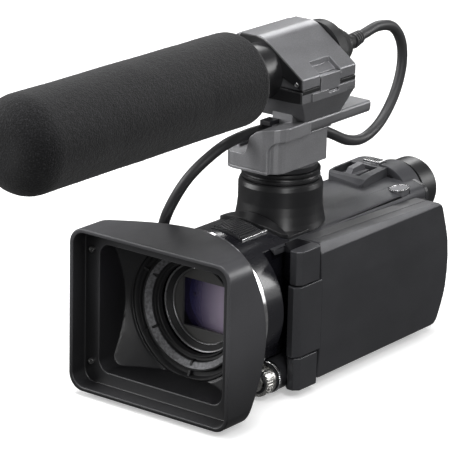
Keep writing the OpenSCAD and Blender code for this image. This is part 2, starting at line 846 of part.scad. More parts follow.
base_plate();
tripod_bush();
right_cabinet();
left_cabinet();
top_cover();
zoom_plate();
rear_panel();
lens_housing();
front_ring();
mic_grille();
trim_strip();
lens_barrel();
guide_rods();
front_lens();
lens_mask();
zoom_group();
focus_group();
sensor_board();
main_board();
lens_hood();
hood_ring();
hood_screws();
dial_housing();
manual_dial();
manual_button();
hinge_caps();
hinge_pins();
hinge_barrel();
screen_cover();
screen_frame();
screen_display();
viewfinder_tube();
eyecup();
eyepiece_lens();
diopter_lever();
zoom_lever();
photo_button();
mode_button();
record_button();
battery();
battery_latch();
jack_cover();
grip_belt();
grip_pad();
belt_lugs();
shoe_skirt();
shoe_column();
lock_collar();
adaptor_block();
rail_bar();
cable_clip();
holder_shell();
holder_lid();
holder_pin();
lid_latch();
holder_liner();
microphone();
windscreen();
mic_cable();
mic_plug();
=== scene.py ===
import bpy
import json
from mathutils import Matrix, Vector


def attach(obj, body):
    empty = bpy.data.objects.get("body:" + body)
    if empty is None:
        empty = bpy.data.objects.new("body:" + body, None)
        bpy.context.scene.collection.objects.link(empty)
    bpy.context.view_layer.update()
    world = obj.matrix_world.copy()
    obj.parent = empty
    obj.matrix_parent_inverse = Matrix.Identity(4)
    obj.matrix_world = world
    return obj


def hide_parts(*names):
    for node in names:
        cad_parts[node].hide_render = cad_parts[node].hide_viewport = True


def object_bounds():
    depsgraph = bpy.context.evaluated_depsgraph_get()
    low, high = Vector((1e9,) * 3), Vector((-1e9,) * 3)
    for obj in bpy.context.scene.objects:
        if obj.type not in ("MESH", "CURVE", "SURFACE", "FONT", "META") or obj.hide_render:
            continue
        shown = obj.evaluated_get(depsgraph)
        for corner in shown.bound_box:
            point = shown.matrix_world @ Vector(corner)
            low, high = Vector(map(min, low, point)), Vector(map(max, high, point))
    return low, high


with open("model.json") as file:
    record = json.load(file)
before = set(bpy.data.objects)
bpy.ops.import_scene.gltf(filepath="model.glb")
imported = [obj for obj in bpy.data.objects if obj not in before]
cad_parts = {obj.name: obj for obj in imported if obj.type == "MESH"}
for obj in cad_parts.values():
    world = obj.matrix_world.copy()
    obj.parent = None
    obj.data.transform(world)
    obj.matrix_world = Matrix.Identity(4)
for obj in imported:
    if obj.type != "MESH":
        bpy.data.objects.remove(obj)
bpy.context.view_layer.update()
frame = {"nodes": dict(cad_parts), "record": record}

import json
import math

import bmesh
import bpy
import numpy as np
from mathutils import Matrix, Vector

MM = 0.001
NODES = frame["nodes"]
scene = bpy.context.scene
rng = np.random.default_rng(7)

# Camera -------------------------------------------------------------------------------

AZIMUTH, ELEVATION, ROLL = (math.radians(a) for a in (37.14, 17.85, 1.28))
CAMERA_PLACE = Vector((653.4, -905.3, 417.1)) * MM
SENSOR_WIDTH = 36
FOCAL_LENGTH = 2800 / 450 * SENSOR_WIDTH

back = Vector((
    math.sin(AZIMUTH) * math.cos(ELEVATION),
    -math.cos(AZIMUTH) * math.cos(ELEVATION),
    math.sin(ELEVATION),
))
right = Vector((math.cos(AZIMUTH), math.sin(AZIMUTH), 0))
up = back.cross(right)
cos_roll, sin_roll = math.cos(ROLL), math.sin(ROLL)
right, up = cos_roll * right + sin_roll * up, cos_roll * up - sin_roll * right
camera = bpy.data.objects.new("camera", bpy.data.cameras.new("camera"))
scene.collection.objects.link(camera)
camera.data.sensor_width = SENSOR_WIDTH
camera.data.lens = FOCAL_LENGTH
camera.data.clip_start, camera.data.clip_end = 0.05, 60
pose = Matrix((right, up, back)).transposed().to_4x4()
pose.translation = CAMERA_PLACE
camera.matrix_world = pose
scene.camera = camera

# Materials ----------------------------------------------------------------------------


class Shader:
    """A principled material whose colour, roughness and bump come from noise in object space."""

    def __init__(self, name):
        self.material = bpy.data.materials.new(name)
        self.material.use_nodes = True
        self.tree = self.material.node_tree
        self.principled = self.tree.nodes["Principled BSDF"]
        self.space = self.node("ShaderNodeTexCoord").outputs["Object"]

    def node(self, kind, **values):
        n = self.tree.nodes.new(kind)
        for key, value in values.items():
            if hasattr(n, key):
                setattr(n, key, value)
            else:
                n.inputs[key.replace("_", " ")].default_value = value
        return n

    def link(self, a, b):
        self.tree.links.new(a, b)

    def noise(self, scale, detail=2.0, stretch=None):
        n = self.node("ShaderNodeTexNoise", Scale=scale, Detail=detail)
        if stretch is None:
            self.link(self.space, n.inputs["Vector"])
        else:
            m = self.node("ShaderNodeMapping")
            m.inputs["Scale"].default_value = stretch
            self.link(self.space, m.inputs["Vector"])
            self.link(m.outputs[0], n.inputs["Vector"])
        return n.outputs["Fac"]

    def cells(self, scale):
        n = self.node("ShaderNodeTexVoronoi", Scale=scale)
        self.link(self.space, n.inputs["Vector"])
        return n.outputs["Distance"]

    def ramp(self, value, low, high, a=0.0, b=1.0):
        n = self.node("ShaderNodeMapRange")
        n.inputs["From Min"].default_value, n.inputs["From Max"].default_value = low, high
        n.inputs["To Min"].default_value, n.inputs["To Max"].default_value = a, b
        self.link(value, n.inputs["Value"])
        return n.outputs["Result"]

    def mix(self, factor, a, b):
        n = self.node("ShaderNodeMix", data_type="RGBA")
        for socket, value in ((n.inputs[0], factor), (n.inputs[6], a), (n.inputs[7], b)):
            if isinstance(value, bpy.types.NodeSocket):
                self.link(value, socket)
            else:
                socket.default_value = value
        return n.outputs[2]

    def bump(self, height, distance, after=None, strength=1.0):
        n = self.node("ShaderNodeBump", Strength=strength, Distance=distance)
        self.link(height, n.inputs["Height"])
        if after is not None:
            self.link(after, n.inputs["Normal"])
        return n.outputs["Normal"]

    def sharp_edge_mask(self, radius):
        """1 where the surface turns sharply, from the difference between rounded and plain normals."""
        rounded = self.node("ShaderNodeBevel", samples=4)
        rounded.inputs["Radius"].default_value = radius
        plain = self.node("ShaderNodeNewGeometry")
        dot = self.node("ShaderNodeVectorMath", operation="DOT_PRODUCT")
        self.link(rounded.outputs[0], dot.inputs[0])
        self.link(plain.outputs["Normal"], dot.inputs[1])
        return self.ramp(dot.outputs["Value"], 0.985, 0.86), rounded.outputs[0]


def shade(rgb, k=1.0):
    """A colour scaled by k, with alpha."""
    return (rgb[0] * k, rgb[1] * k, rgb[2] * k, 1.0)


def moulded(name, rgb, rough=0.45, metallic=0.0, grain=0.012, grain_scale=2600, mottle=0.12,
            edge=0.0, edge_rgb=None, coat=0.0, specular=0.5, flake=0.0, radius=0.35):
    """Moulded or painted surface: fine grain, slow variation of colour and gloss, edges paled by wear and
    painted highlight.
    """
    m = Shader(name)
    p = m.principled
    p.inputs["Metallic"].default_value = metallic
    p.inputs["Coat Weight"].default_value = coat
    p.inputs["Coat Roughness"].default_value = 0.08
    p.inputs["Specular IOR Level"].default_value = specular
    slow = m.noise(45, 3)
    colour = m.mix(m.ramp(slow, 0.3, 0.7), shade(rgb, 1 - mottle), shade(rgb, 1 + mottle))
    fine = m.noise(grain_scale, 2)
    colour = m.mix(m.ramp(fine, 0.35, 0.65, 0, 0.25 + flake), colour, shade(rgb, 1.35 + 2 * flake))
    edge_wear_and_highlight, rounded = m.sharp_edge_mask(radius * MM)
    if edge:
        # The paler edge colour is wear from rubbing, and on the hood also a painted highlight along the
        # lips.
        wear_and_highlight_rgb = shade(edge_rgb) if edge_rgb else shade(rgb, 2.4)
        colour = m.mix(m.ramp(edge_wear_and_highlight, 0, 1, 0, edge), colour, wear_and_highlight_rgb)
    m.link(colour, p.inputs["Base Color"])
    smears = m.noise(160, 4, (1, 0.35, 1))
    gloss = m.ramp(smears, 0.3, 0.75, rough * 0.88, min(1.0, rough * 1.14))
    m.link(gloss, p.inputs["Roughness"])
    m.link(m.bump(fine, grain * MM, rounded), p.inputs["Normal"])
    return m.material


def foam_material():
    """Open-celled foam: pores in the bump and darkened as painted shade in their hollows, with pale specks
    and slow variation.
    """
    m = Shader("foam")
    p = m.principled
    p.inputs["Sheen Weight"].default_value = 0.12
    p.inputs["Sheen Roughness"].default_value = 0.6
    p.inputs["Specular IOR Level"].default_value = 0.1
    pores = m.cells(1500)
    fine = m.noise(1900, 1)
    slow = m.noise(60, 3)
    # The pores are darker where the bump makes them deep: painted shade.
    colour = m.mix(m.ramp(pores, 0.15, 0.6), shade((0.003, 0.003, 0.0033)), shade((0.009, 0.009, 0.0098)))
    colour = m.mix(m.ramp(fine, 0.52, 0.72, 0, 0.6), colour, shade((0.042, 0.042, 0.045)))
    colour = m.mix(m.ramp(slow, 0.35, 0.7, 0, 0.3), colour, shade((0.012, 0.012, 0.0132)))
    m.link(colour, p.inputs["Base Color"])
    p.inputs["Roughness"].default_value = 0.95
    m.link(m.bump(pores, 0.16 * MM, strength=0.8), p.inputs["Normal"])
    return m.material


def mask_ramp(tree, value, low, high):
    mask = tree.nodes.new("ShaderNodeMapRange")
    mask.inputs["From Min"].default_value, mask.inputs["From Max"].default_value = low, high
    tree.links.new(value, mask.inputs["Value"])
    return mask.outputs["Result"]


def blend_under(tree, socket_name, mask, value):
    """Feeds a shader socket the given value where the mask is 0 and its old source where it is 1."""
    socket = tree.nodes["Principled BSDF"].inputs[socket_name]
    old = socket.links[0].from_socket
    is_colour = not isinstance(value, float)
    mix = tree.nodes.new("ShaderNodeMix")
    mix.data_type = "RGBA" if is_colour else "FLOAT"
    a, b, out = (6, 7, 2) if is_colour else (2, 3, 0)
    tree.links.new(mask, mix.inputs[0])
    mix.inputs[a].default_value = value
    tree.links.new(old, mix.inputs[b])
    tree.links.new(mix.outputs[out], socket)


def hood_material():
    """Matt black moulding: lips paled by wear and a painted highlight, painted shade darkening it where
    closed in.
    """
    # The pale edge colour paints a highlight on the lips as well as wear from rubbing.
    material = moulded("hood_black", (0.064, 0.064, 0.069), 0.36, grain=0.02, grain_scale=1800,
                       edge=0.9, edge_rgb=(0.34, 0.34, 0.35), radius=0.55)
    tree = material.node_tree
    # Ambient occlusion darkens the colour inside the hood: painted shade.
    painted_shade_ao = tree.nodes.new("ShaderNodeAmbientOcclusion")
    painted_shade_ao.samples = 8
    painted_shade_ao.inputs["Distance"].default_value = 55 * MM
    mask = mask_ramp(tree, painted_shade_ao.outputs["AO"], 0.6, 0.95)
    blend_under(tree, "Base Color", mask, (0.012, 0.012, 0.013, 1))
    return material


def glass_material(name, rgb, coat_rgb, bright, alpha):
    """Coated glass, partly see-through, with a painted reflection: its colour pales from one side of the
    lens to the other.
    """
    m = Shader(name)
    p = m.principled
    split = m.node("ShaderNodeSeparateXYZ")
    m.link(m.space, split.inputs[0])
    # The colour pales across the lens towards a pale tint as a painted reflection, and the glass grows less
    # see-through with it.
    across = m.ramp(split.outputs["X"], -8.8 * MM, 5.6 * MM)
    clouds = m.noise(90, 2)
    tint = m.mix(m.ramp(clouds, 0.3, 0.7, 0.0, 0.4), shade(coat_rgb), shade(rgb))
    m.link(m.mix(across, tint, shade(bright)), p.inputs["Base Color"])
    dust = m.noise(900, 3)
    m.link(m.ramp(dust, 0.4, 0.8, 0.02, 0.06), p.inputs["Roughness"])
    p.inputs["Specular IOR Level"].default_value = 0.9
    p.inputs["Coat Weight"].default_value = 1.0
    p.inputs["Coat Roughness"].default_value = 0.02
    m.link(m.ramp(across, 0, 1, alpha, min(1.0, alpha + 0.5)), p.inputs["Alpha"])
    return m.material


def brushed(name, rgb, rough=0.25, scale=700, depth=0.004):
    """Bare or plated metal with fine wear lines."""
    m = Shader(name)
    p = m.principled
    p.inputs["Metallic"].default_value = 1.0
    lines = m.noise(scale, 3)
    slow = m.noise(60, 2)
    colour = m.mix(m.ramp(lines, 0.3, 0.7), shade(rgb, 0.78), shade(rgb, 1.1))
    colour = m.mix(m.ramp(slow, 0.4, 0.8, 0, 0.2), colour, shade(rgb, 0.6))
    m.link(colour, p.inputs["Base Color"])
    m.link(m.ramp(lines, 0.3, 0.7, rough * 0.75, rough * 1.35), p.inputs["Roughness"])
    _, rounded = m.sharp_edge_mask(0.25 * MM)
    m.link(m.bump(lines, depth * MM, rounded), p.inputs["Normal"])
    return m.material


def webbing_material(name, rgb):
    """Woven belt: ribs across and threads along, painted shade in the weave's hollows and painted light on
    its crossings, and a little fuzz.
    """
    m = Shader(name)
    p = m.principled
    p.inputs["Sheen Weight"].default_value = 0.35
    p.inputs["Specular IOR Level"].default_value = 0.2
    p.inputs["Roughness"].default_value = 0.9
    waves = []
    for direction, scale in (("Y", 330), ("Z", 420)):
        w = m.node("ShaderNodeTexWave", Scale=scale, Distortion=0.6)
        w.bands_direction = direction
        w.wave_profile = "SIN"
        m.link(m.space, w.inputs["Vector"])
        waves.append(w.outputs["Fac"])
    multiply = m.node("ShaderNodeMath", operation="MULTIPLY")
    m.link(waves[0], multiply.inputs[0])
    m.link(waves[1], multiply.inputs[1])
    weave = multiply.outputs[0]
    fuzz = m.noise(1800, 3)
    # Colour follows the weave's height: painted shade in its hollows, painted light on its crossings.
    colour = m.mix(m.ramp(weave, 0.1, 0.8), shade(rgb, 0.45), shade(rgb, 1.5))
    colour = m.mix(m.ramp(fuzz, 0.5, 0.75, 0, 0.5), colour, shade(rgb, 2.2))
    m.link(colour, p.inputs["Base Color"])
    n = m.bump(weave, 0.16 * MM)
    m.link(m.bump(fuzz, 0.04 * MM, n), p.inputs["Normal"])
    return m.material


def painted_shade_black(name, source, axis, low, high):
    """A copy of a material that is polished black below a plane of the object's own space; the black is
    painted shade too.
    """
    material = source.copy()
    material.name = name
    tree = material.node_tree
    space = next(n for n in tree.nodes if n.type == "TEX_COORD")
    split = tree.nodes.new("ShaderNodeSeparateXYZ")
    tree.links.new(space.outputs["Object"], split.inputs[0])
    mask = mask_ramp(tree, split.outputs[axis], low * MM, high * MM)
    # The near-black is painted shade on faces that lie in shadow, as well as a polished finish.
    blend_under(tree, "Base Color", mask, (0.006, 0.006, 0.008, 1))
    blend_under(tree, "Roughness", mask, 0.15)
    return material


MATS = {
    "cabinet": moulded("cabinet", (0.03, 0.0305, 0.033), 0.38, grain=0.008, edge=0.4, radius=0.3),
    "top_metallic": moulded("top_metallic", (0.045, 0.0455, 0.05), 0.5, 0.1, grain=0.005, edge=0.5,
                            specular=0.3, flake=0.08),
    "hood_black": hood_material(),
    "gloss_black": moulded("gloss_black", (0.009, 0.009, 0.012), 0.27, grain=0.001, coat=0.25),
    "bright_chrome": brushed("bright_chrome", (0.86, 0.86, 0.87), 0.12, scale=300, depth=0.001),
    "dial_silver": brushed("dial_silver", (0.62, 0.61, 0.59), 0.28),
    "steel": brushed("steel", (0.5, 0.5, 0.5), 0.3),
    "brass_bush": brushed("brass_bush", (0.62, 0.56, 0.42), 0.3),
    # The pale tints given for the two glasses are painted reflections.
    "coated_glass": glass_material("coated_glass", (0.08, 0.09, 0.26), (0.17, 0.13, 0.36),
                                   bright=(0.86, 0.72, 0.95), alpha=0.35),
    "clear_glass": glass_material("clear_glass", (0.05, 0.06, 0.09), (0.1, 0.12, 0.2),
                                  bright=(0.1, 0.12, 0.2), alpha=0.6),
    "rubber_black": moulded("rubber_black", (0.013, 0.013, 0.014), 0.34, grain=0.004, edge=0.3, radius=0.5),
    "shoe_black": moulded("shoe_black", (0.016, 0.016, 0.018), 0.36, grain=0.005, edge=0.4),
    "holder_grey": moulded("holder_grey", (0.2, 0.2, 0.208), 0.4, 0.55, grain=0.014, edge=0.6,
                           radius=0.45, flake=0.1),
    "lid_grey": moulded("lid_grey", (0.22, 0.22, 0.23), 0.36, 0.6, grain=0.016, edge=0.7,
                        radius=0.45, flake=0.12),
    "foam": foam_material(),
    "panel_grey": moulded("panel_grey", (0.05, 0.0505, 0.055), 0.34, 0.35, grain=0.006, edge=0.6,
                          flake=0.1),
    "display_glass": moulded("display_glass", (0.006, 0.006, 0.009), 0.06, grain=0.0005, coat=1.0),
    "board": moulded("board", (0.02, 0.08, 0.035), 0.35, grain=0.01, coat=0.4),
    "cable_black": moulded("cable_black", (0.035, 0.035, 0.037), 0.46, grain=0.01, grain_scale=1600),
    "belt_fabric": webbing_material("belt_fabric", (0.03, 0.03, 0.032)),
    "pad_leather": moulded("pad_leather", (0.035, 0.033, 0.032), 0.6, grain=0.09, grain_scale=900,
                           edge=0.2),
    "button_grey": moulded("button_grey", (0.11, 0.11, 0.118), 0.36, 0.2, grain=0.006, edge=0.5),
    "record_red": moulded("record_red", (0.3, 0.015, 0.015), 0.25, grain=0.003, coat=0.5),
    "inner_black": moulded("inner_black", (0.014, 0.014, 0.015), 0.55, grain=0.01),
}
BAND = moulded("band_grey", (0.12, 0.12, 0.125), 0.5, 0.5, grain=0.03, grain_scale=900, mottle=0.35,
               flake=0.5)
RIM = moulded("rim_grey", (0.26, 0.26, 0.265), 0.3, 0.6, grain=0.002, edge=0.6)
CELL = moulded("lens_cell", (0.12, 0.14, 0.5), 0.2, 0.3, grain=0.002, coat=1.0)

# Finishes of single nodes that differ from their slot's; the black fronts of cabinet and hinge are also
# painted shade
FINISH_AND_PAINTED_SHADE = {
    "lens_mask": moulded("baffle_grey", (0.12, 0.119, 0.117), 0.5, grain=0.006),
    "adaptor_block": moulded("block_grey", (0.25, 0.25, 0.26), 0.46, 0.5, grain=0.014, edge=0.6,
                             radius=0.6, flake=0.1),
    # Near-black front faces of the cabinet and hinge: painted shade where they lie in shadow, with a gloss
    # finish.
    "left_cabinet": painted_shade_black("cabinet_left", MATS["cabinet"], "Y", -30.0, -29.6),
    "hinge_caps": painted_shade_black("hinge_caps", MATS["panel_grey"], "X", 29.3, 29.6),
    "hinge_barrel": painted_shade_black("hinge_barrel", MATS["panel_grey"], "X", 29.3, 29.6),
}
SLOT_OF = {part["node"]: part["material_slot"] for part in frame["record"]["subparts"]}

for name, node in NODES.items():
    node.data.materials.clear()
    node.data.materials.append(FINISH_AND_PAINTED_SHADE.get(name) or MATS[SLOT_OF[name]])

# Rounded edges of the carried-over nodes, in mm
EDGE_WIDTHS = {
    "lens_hood": 0.4,
    "screen_cover": 0.35,
    "left_cabinet": 0.3,
    "holder_lid": 0.3,
    "holder_shell": 0.3,
    "rail_bar": 0.4,
    "hinge_caps": 0.3,
    "hinge_barrel": 0.3,
    "top_cover": 0.3,
    "photo_button": 0.25,
}

for name, width in EDGE_WIDTHS.items():
    weld = NODES[name].modifiers.new("weld", "WELD")
    weld.merge_threshold = 0.003 * MM
    bevel = NODES[name].modifiers.new("bevel", "BEVEL")
    bevel.width, bevel.segments = width * MM, 2
    bevel.limit_method, bevel.angle_limit = "ANGLE", math.radians(38)
    bevel.use_clamp_overlap = False
    bevel.miter_outer = "MITER_SHARP"
    normals = NODES[name].modifiers.new("normals", "WEIGHTED_NORMAL")
    normals.keep_sharp = False

# Pieces from mesh code ----------------------------------------------------------------


def piece(name, verts, faces, body, slot, replaces=(), sharp=0, material=None):
    """A mesh object that rides on a body; sharp is the angle above which its edges stay hard."""
    mesh = bpy.data.meshes.new(name)
    mesh.from_pydata([tuple(v) for v in verts], [], faces)
    mesh.validate()
    bm = bmesh.new()
    bm.from_mesh(mesh)
    bmesh.ops.recalc_face_normals(bm, faces=bm.faces)
    bm.to_mesh(mesh)
    bm.free()
    mesh.polygons.foreach_set("use_smooth", [True] * len(mesh.polygons))
    if sharp:
        mesh.set_sharp_from_angle(angle=math.radians(sharp))
    o = bpy.data.objects.new(name, mesh)
    scene.collection.objects.link(o)
    mesh.materials.append(material or MATS[slot])
    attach(o, body)
    if replaces:
        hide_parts(*replaces)
    return o


def grid_faces(rows, columns):
    """Faces between rows of points, each row closed on itself."""
    faces = []
    for i in range(rows - 1):
        for k in range(columns):
            a, b = i * columns + k, i * columns + (k + 1) % columns
            faces.append((a, b, b + columns, a + columns))
    return faces


def turned(profile, n, centre):
    """Rings of a profile of (radius, y) pairs round an axis along Y through centre."""
    verts = []
    for r, y in profile:
        for k in range(n):
            t = 2 * math.pi * k / n
            verts.append((centre[0] + r * math.cos(t), centre[1] + y, centre[2] - r * math.sin(t)))
    return np.array(verts) * MM, grid_faces(len(profile), n)


def catmull(points, steps):
    """A smooth curve through the points, as a list of points."""
    p = [Vector(q) for q in points]
    last = len(p) - 1
    out = []
    for i in range(last):
        p0, p1, p2, p3 = p[max(i - 1, 0)], p[i], p[i + 1], p[min(i + 2, last)]
        for j in range(steps):
            t = j / steps
            out.append(0.5 * (2 * p1 + (p2 - p0) * t + (2 * p0 - 5 * p1 + 4 * p2 - p3) * t * t
                              + (3 * p1 - p0 - 3 * p2 + p3) * t * t * t))
    out.append(p[last])
    return out


def round_edges(o, width):
    bevel = o.modifiers.new("edges", "BEVEL")
    bevel.width, bevel.segments = width * MM, 2
    bevel.limit_method, bevel.angle_limit = "ANGLE", math.radians(35)
    o.modifiers.new("normals", "WEIGHTED_NORMAL")


PLACE = {
    "X": lambda u, v, w: (w, u, v),
    "Y": lambda u, v, w: (u, w, v),
}


def prism(name, outline, axis, lo, hi, body, slot, width):
    """An outline carried along an axis, with its edges rounded."""
    n = len(outline)
    verts = np.array([PLACE[axis](u, v, w) for w in (lo, hi) for u, v in outline]) * MM
    faces = [tuple(range(n)), tuple(range(n, 2 * n))]
    faces += [(k, (k + 1) % n, n + (k + 1) % n, n + k) for k in range(n)]
    round_edges(piece(name, verts, faces, body, slot, (), 35), width)


def ring(name, profile, centre, body, slot, n=128, replaces=(), material=None, sharp=35):
    """A closed section turned about an axis along Y."""
    verts, faces = turned(list(profile) + [profile[0]], n, centre)
    faces = [tuple(v % (len(profile) * n) for v in f) for f in faces]
    piece(name, verts[:len(profile) * n], faces, body, slot, replaces, sharp, material)


def box_outline(u0, v0, u1, v1, r, n=4):
    """A rectangle with corners of radius r."""
    out = []
    corners = ((u1 - r, v0 + r), (u1 - r, v1 - r), (u0 + r, v1 - r), (u0 + r, v0 + r))
    for quarter, (cu, cv) in enumerate(corners):
        for k in range(n + 1):
            a = math.radians(90 * (quarter - 1 + k / n))
            out.append((cu + r * math.cos(a), cv + r * math.sin(a)))
    return out


# Axes of the lens, the microphone and the dial, which all run along Y
LENS_AXIS = (0, 0, 37)
MIC_AXIS = (0, 0, 129.3)
DIAL_AXIS = (23, 0, 8.3)

# Microphone cable, from its strain relief to its plug
CABLE_D = 4.6
CABLE_ROUTE = [
    (0, 42, 129.3), (0, 52, 131), (0, 63, 132.5), (0, 74, 130), (0, 81, 122),
    (0, 82, 111), (0, 77, 99), (0, 67, 89), (0, 55, 84.5), (0, 43, 86),
    (-1, 32, 91), (-2.5, 22, 95.5), (-3.5, 10, 99), (-3.6, -3, 101.2), (-3.6, -14, 102),
    (-4, -25, 102), (-5.5, -36.4, 100.1), (-9.5, -44, 94.5), (-14, -48.9, 87.6), (-19, -50.4, 79.4),
    (-25, -49.4, 69.2), (-31.5, -43.5, 59.5), (-36, -34.5, 54), (-37.8, -27, 52), (-38.1, -20.9, 49),
    (-38, -18.2, 44.6), (-38, -18, 41),
]


def make_cable():
    """Microphone cable: one smooth curve of a round section."""
    route = catmull(CABLE_ROUTE, 8)
    curve = bpy.data.curves.new("microphone_cable", "CURVE")
    curve.dimensions = "3D"
    spline = curve.splines.new("POLY")
    spline.points.add(len(route) - 1)
    for point, p in zip(spline.points, route):
        point.co = (*(p * MM), 1)
    curve.bevel_depth = CABLE_D / 2 * MM
    curve.bevel_resolution = 6
    curve.use_fill_caps = True
    o = bpy.data.objects.new("microphone_cable", curve)
    scene.collection.objects.link(o)
    curve.materials.append(MATS["cable_black"])
    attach(o, "camera")
    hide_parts("mic_cable")


def make_windscreen():
    """Foam windscreen: a closed turned form with rounded ends and an uneven surface of open cells."""
    radius, front, rear, inner = 19.4, -177.5, -38.5, 9.6
    nose, heel = 13, 3.5
    profile = [(0.01, front)]
    profile += [(radius - nose + nose * math.sin(a), front + nose - nose * math.cos(a))
                for a in np.radians(np.linspace(0, 90, 34))]
    profile += [(radius, y) for y in np.linspace(front + nose, rear - heel, 190)[1:-1]]
    profile += [(radius - heel + heel * math.cos(a), rear - heel + heel * math.sin(a))
                for a in np.radians(np.linspace(0, 90, 16))]
    profile += [(inner, rear)]
    n = 220
    verts, faces = turned(profile, n, MIC_AXIS)
    rings = len(profile)
    rough = rng.normal(0, 0.035, (rings, n))
    rough = (rough + np.roll(rough, 1, 1) + np.roll(rough, 1, 0)) / 2
    slow = rng.normal(0, 1, (rings // 18 + 2, n // 22))
    along = np.linspace(0, slow.shape[0] - 1.001, rings)
    around = np.linspace(0, slow.shape[1], n, endpoint=False)
    i0, j0 = along.astype(int), around.astype(int)
    j1 = (j0 + 1) % slow.shape[1]
    u, v = (along - i0)[:, None], (around - j0)[None, :]
    wave = ((slow[i0][:, j0] * (1 - u) + slow[i0 + 1][:, j0] * u) * (1 - v)
            + (slow[i0][:, j1] * (1 - u) + slow[i0 + 1][:, j1] * u) * v)
    offset = (rough + 0.12 * wave).reshape(-1, 1)
    outward = verts - np.array(MIC_AXIS) * MM
    outward[:, 1] = 0
    length = np.linalg.norm(outward, axis=1, keepdims=True)
    outward = outward / np.maximum(length, 1e-9)
    fade = np.clip(length / (radius * MM) * 1.5, 0, 1)
    verts = verts + outward * offset * fade * MM
    o = piece("foam_windscreen", verts, faces, "camera", "foam", ["windscreen"])


BELT_ROOT = (-31, 26)
BELT_Z = 32.5


def belt_point(angle, reach, span):
    """A point of the belt's arch in plan."""
    a = math.radians(angle)
    return BELT_ROOT[0] - reach * math.cos(a), BELT_ROOT[1] + span * math.sin(a)


def lofted(rings):
    """Points and faces of a closed form through rings with the same number of points."""
    n, last = len(rings[0]), len(rings) - 1
    faces = grid_faces(len(rings), n)
    faces += [tuple(range(n))[::-1], tuple(last * n + k for k in range(n))]
    return np.array([v for section in rings for v in section]), faces


def make_belt():
    """Hand belt: a woven band with folded, stitched edges, from lug to lug."""
    widths = np.linspace(-1, 1, 28)
    rings = []
    for a in np.linspace(-84, 84, 120):
        section = []
        for side in (1, -1):
            for w in widths[::side]:
                fold = max(0.0, abs(w) - 0.86) / 0.14
                seam = math.exp(-((abs(w) - 0.84) / 0.035) ** 2)
                half = 1.15 * math.sqrt(max(0.0, 1 - fold ** 2)) - 0.35 * seam
                crown = 0.35 * (1 - w * w)
                x, y = belt_point(a, 15.8 + crown + side * half, 33.8 + side * half)
                section.append((x, y, BELT_Z + 13.3 * w))
        rings.append(section)
    verts, faces = lofted(rings)
    verts[:, 0] = np.minimum(verts[:, 0], -33.35)
    o = piece("hand_belt", verts * MM, faces, "camera", "belt_fabric", ["grip_belt"])


def make_pad():
    """Padded inner lining of the belt: crowned leather with a sewn channel round it."""
    angles = np.linspace(-48, 48, 90)
    widths = np.linspace(-1, 1, 34)
    rings = []
    for i, a in enumerate(angles):
        u = -1 + 2 * i / (len(angles) - 1)
        section = []
        for side in (1, -1):
            for w in widths[::side]:
                full = math.sqrt(max(0.0, 1 - max(abs(u) ** 3, abs(w) ** 3)))
                channel = math.exp(-((max(abs(u) * 1.02, abs(w)) - 0.84) / 0.03) ** 2)
                half = (0.25 + 1.15 * full - 0.5 * channel) if side < 0 else 0.35 + 0.4 * full
                x, y = belt_point(a, 12.9 + side * half, 31.0 + side * half)
                section.append((x, y, BELT_Z + 12.2 * w))
        rings.append(section)
    verts, faces = lofted(rings)
    o = piece("belt_pad", verts * MM, faces, "camera", "pad_leather", ["grip_pad"])


def make_lens():
    """Threaded collar with its ribs, the silvery band, rims and the stepped cell behind the front lens."""
    collar = [
        (28.75, -58.6), (28.75, -65.7), (28.45, -66.0), (27.75, -66.0), (27.4, -65.6), (27.1, -63.5),
        (25.3, -63.3), (25.05, -64.6), (24.5, -64.8), (24.2, -64.2), (21.7, -62.3), (21.4, -60.8),
        (20.3, -60.6), (20.0, -61.2), (19.5, -61.2), (19.25, -60.9), (19.25, -58.6),
    ]
    ring("filter_collar", collar, LENS_AXIS, "camera", "inner_black", replaces=["hood_ring"])
    for k in range(6):
        a = math.radians(30 + 60 * k)
        radial, side = Vector((math.cos(a), 0, math.sin(a))), Vector((-math.sin(a), 0, math.cos(a)))
        corners = []
        for r, y in ((21.2, -62.9), (27.6, -65.3), (27.6, -60.0), (21.2, -60.0)):
            for t in (-0.55, 0.55):
                corners.append(radial * r + side * t + Vector((0, y, LENS_AXIS[2])))
        faces = [(0, 2, 4, 6), (1, 3, 5, 7), (0, 1, 3, 2), (2, 3, 5, 4), (4, 5, 7, 6), (6, 7, 1, 0)]
        rib = piece(f"collar_rib_{k + 1}", np.array(corners) * MM, faces, "camera", "inner_black", (), 35)
        round_edges(rib, 0.15)
    band = [(24.15, -64.3), (21.75, -62.5), (21.6, -62.0), (24.3, -63.8)]
    ring("silver_band", band, LENS_AXIS, "camera", "button_grey", material=BAND)
    lens_rim = [(19.05, -57.0), (19.05, -57.5), (18.75, -57.7), (18.35, -57.5), (18.3, -57.0)]
    ring("lens_rim", lens_rim, LENS_AXIS, "camera", "steel", material=RIM)
    bore_rim = [(16.35, -54.9), (16.35, -55.5), (16.0, -55.6), (15.75, -55.3), (15.75, -54.9)]
    ring("bore_rim", bore_rim, LENS_AXIS, "camera", "steel", material=RIM)
    cell = []
    for k in range(9):
        r, y = 15.2 - 1.05 * k, -46.05 + 0.42 * k
        cell += [(r, y + 0.25), (r - 0.25, y), (r - 0.8, y + 0.15)]
    cell += [(5.6, -41.6), (5.6, -41.2), (15.2, -45.2)]
    ring("lens_cell", cell, LENS_AXIS, "camera", "coated_glass", material=CELL, sharp=50)


def bore_arc(radius, start, end, n):
    """Part of a circle round the microphone, in (x, z)."""
    return [(radius * math.cos(a), MIC_AXIS[2] + radius * math.sin(a))
            for a in np.radians(np.linspace(start, end, n))]


